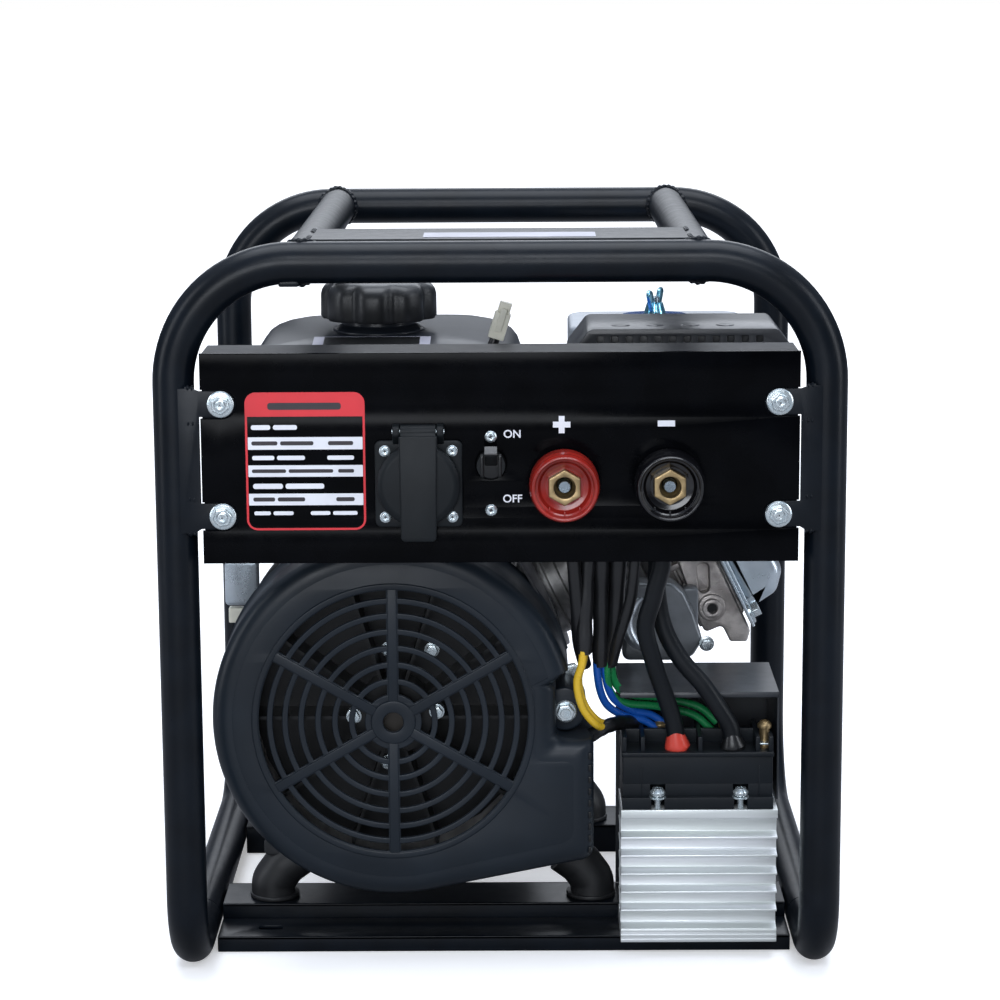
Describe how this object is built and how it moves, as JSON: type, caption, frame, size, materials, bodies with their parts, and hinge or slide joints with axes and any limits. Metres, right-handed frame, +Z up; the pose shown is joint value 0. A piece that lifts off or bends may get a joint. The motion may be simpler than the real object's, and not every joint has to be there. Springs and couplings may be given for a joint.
{
  "type": "engine driven welder",
  "caption": "Engine driven welding generator in a tube frame, with control panel, weld terminals, rectifier on a heat sink, round alternator cover and inclined petrol engine.",
  "frame": {"origin": "on the floor, below the middle of the whole object", "axes": "+Z up, -Y out of the control panel, +X to the right of someone facing the panel"},
  "size_m": [0.416, 0.437, 0.459],
  "materials": {
    "powder_coat": "satin black powder coat",
    "fascia_gloss": "gloss black",
    "black_plastic": "moulded, fine texture",
    "grey_plastic": "moulded",
    "red_plastic": "gloss red",
    "rubber": "matt",
    "zinc": "bright zinc plate",
    "steel": "machined",
    "brass": "turned",
    "heat_sink": "extruded",
    "cast_aluminium": "die cast",
    "core_steel": "varnished laminations",
    "tank_paint": "gloss black paint",
    "yellow_lead": "PVC",
    "blue_lead": "PVC",
    "green_lead": "PVC",
    "cable_jacket": "rubber sheath"
  },
  "bodies": {
    "frame": {"front_hoop": "powder_coat", "rear_hoop": "powder_coat", "top_rail_left": "powder_coat", "top_rail_right": "powder_coat", "top_plate": "powder_coat", "front_base_rail": "powder_coat", "rear_base_rail": "powder_coat", "mount_front_left": "rubber", "mount_front_right": "rubber", "mount_rear_left": "rubber", "mount_rear_right": "rubber", "control_panel": "powder_coat", "panel_fascia": "fascia_gloss", "socket_body": "black_plastic", "breaker_body": "black_plastic", "terminal_stud_plus": "steel", "terminal_stud_minus": "steel", "heat_sink": "heat_sink", "rectifier_module": "grey_plastic", "rectifier_guard": "powder_coat", "weld_cable_plus": "cable_jacket", "weld_cable_minus": "cable_jacket", "phase_lead_yellow": "yellow_lead", "phase_lead_blue": "blue_lead", "phase_lead_green": "green_lead", "alternator_cover": "black_plastic", "stator": "core_steel", "alternator_bracket": "cast_aluminium", "alternator_housing": "powder_coat", "crankcase": "cast_aluminium", "crankcase_cover": "cast_aluminium", "piston": "cast_aluminium", "cylinder": "cast_aluminium", "cylinder_head": "cast_aluminium", "valve_cover": "zinc", "muffler": "steel", "muffler_guard": "powder_coat", "carburettor": "cast_aluminium", "air_cleaner_case": "black_plastic", "air_cleaner_cover": "grey_plastic", "fuel_tank": "tank_paint", "blower_housing": "powder_coat", "recoil_cover": "powder_coat"},
    "crank_train": {"alternator_fan": "black_plastic", "rotor": "core_steel", "crankshaft": "steel", "flywheel": "cast_aluminium"},
    "fuel_cap": {"fuel_cap": "black_plastic"},
    "socket_lid": {"socket_lid": "grey_plastic"},
    "breaker_toggle": {"breaker_toggle": "grey_plastic"},
    "knob_plus": {"terminal_knob_plus": "red_plastic", "terminal_insert_plus": "brass"},
    "knob_minus": {"terminal_knob_minus": "black_plastic", "terminal_insert_minus": "brass"},
    "starter_handle": {"starter_handle": "black_plastic"},
    "recoil_pulley": {"recoil_pulley": "black_plastic"},
    "choke_lever": {"choke_lever": "steel"},
    "fuel_cock_lever": {"fuel_cock_lever": "zinc"},
    "wing_nut": {"wing_nut": "zinc"},
    "oil_filler_cap": {"oil_filler_cap": "grey_plastic"}
  },
  "joints": [
    {"name": "crank_spin", "type": "hinge", "parent": "frame", "child": "crank_train", "pos_m": [-0.0675, 0.0135, 0.158], "axis": [0, 1, 0], "continuous": true},
    {"name": "fuel_cap_turn", "type": "hinge", "parent": "frame", "child": "fuel_cap", "pos_m": [-0.08, -0.0065, 0.3915], "axis": [0, 0, 1], "range_deg": [0, 90]},
    {"name": "socket_lid_hinge", "type": "hinge", "parent": "frame", "child": "socket_lid", "pos_m": [-0.0487, -0.1979, 0.3476], "axis": [-1, 0, 0], "range_deg": [0, 100], "stiffness_Nm_per_rad": 0.03, "springref_deg": -34.38},
    {"name": "breaker_switch", "type": "hinge", "parent": "frame", "child": "breaker_toggle", "pos_m": [-0.0056, -0.1903, 0.3266], "axis": [1, 0, 0], "range_deg": [0, 76]},
    {"name": "knob_plus_turn", "type": "hinge", "parent": "frame", "child": "knob_plus", "pos_m": [0.038, -0.1953, 0.316], "axis": [0, -1, 0], "range_deg": [0, 360]},
    {"name": "knob_minus_turn", "type": "hinge", "parent": "frame", "child": "knob_minus", "pos_m": [0.1003, -0.1953, 0.316], "axis": [0, -1, 0], "range_deg": [0, 360]},
    {"name": "starter_pull", "type": "slide", "parent": "frame", "child": "starter_handle", "axis": [0, 1, 0], "range_m": [0, 0.6], "stiffness_N_per_m": 8, "springref_m": -0.3},
    {"name": "recoil_spin", "type": "hinge", "parent": "frame", "child": "recoil_pulley", "pos_m": [-0.0675, 0.1635, 0.158], "axis": [0, 1, 0], "range_deg": [0, 720]},
    {"name": "choke_turn", "type": "hinge", "parent": "frame", "child": "choke_lever", "pos_m": [0.075, 0.1095, 0.304], "axis": [0, 0, 1], "range_deg": [0, 40]},
    {"name": "fuel_cock_turn", "type": "hinge", "parent": "frame", "child": "fuel_cock_lever", "pos_m": [0.108, 0.1255, 0.278], "axis": [0, 1, 0], "range_deg": [0, 90]},
    {"name": "wing_nut_turn", "type": "hinge", "parent": "frame", "child": "wing_nut", "pos_m": [0.106, 0.1035, 0.38], "axis": [0, 0, 1], "range_deg": [0, 360]},
    {"name": "oil_cap_turn", "type": "hinge", "parent": "frame", "child": "oil_filler_cap", "pos_m": [-0.1335, 0.0535, 0.096], "axis": [-0.6428, 0, 0.766], "range_deg": [0, 360]}
  ],
  "couplings": [
    {"joint": "recoil_spin", "follows": "starter_pull", "rad_per_m": 20.833}
  ]
}
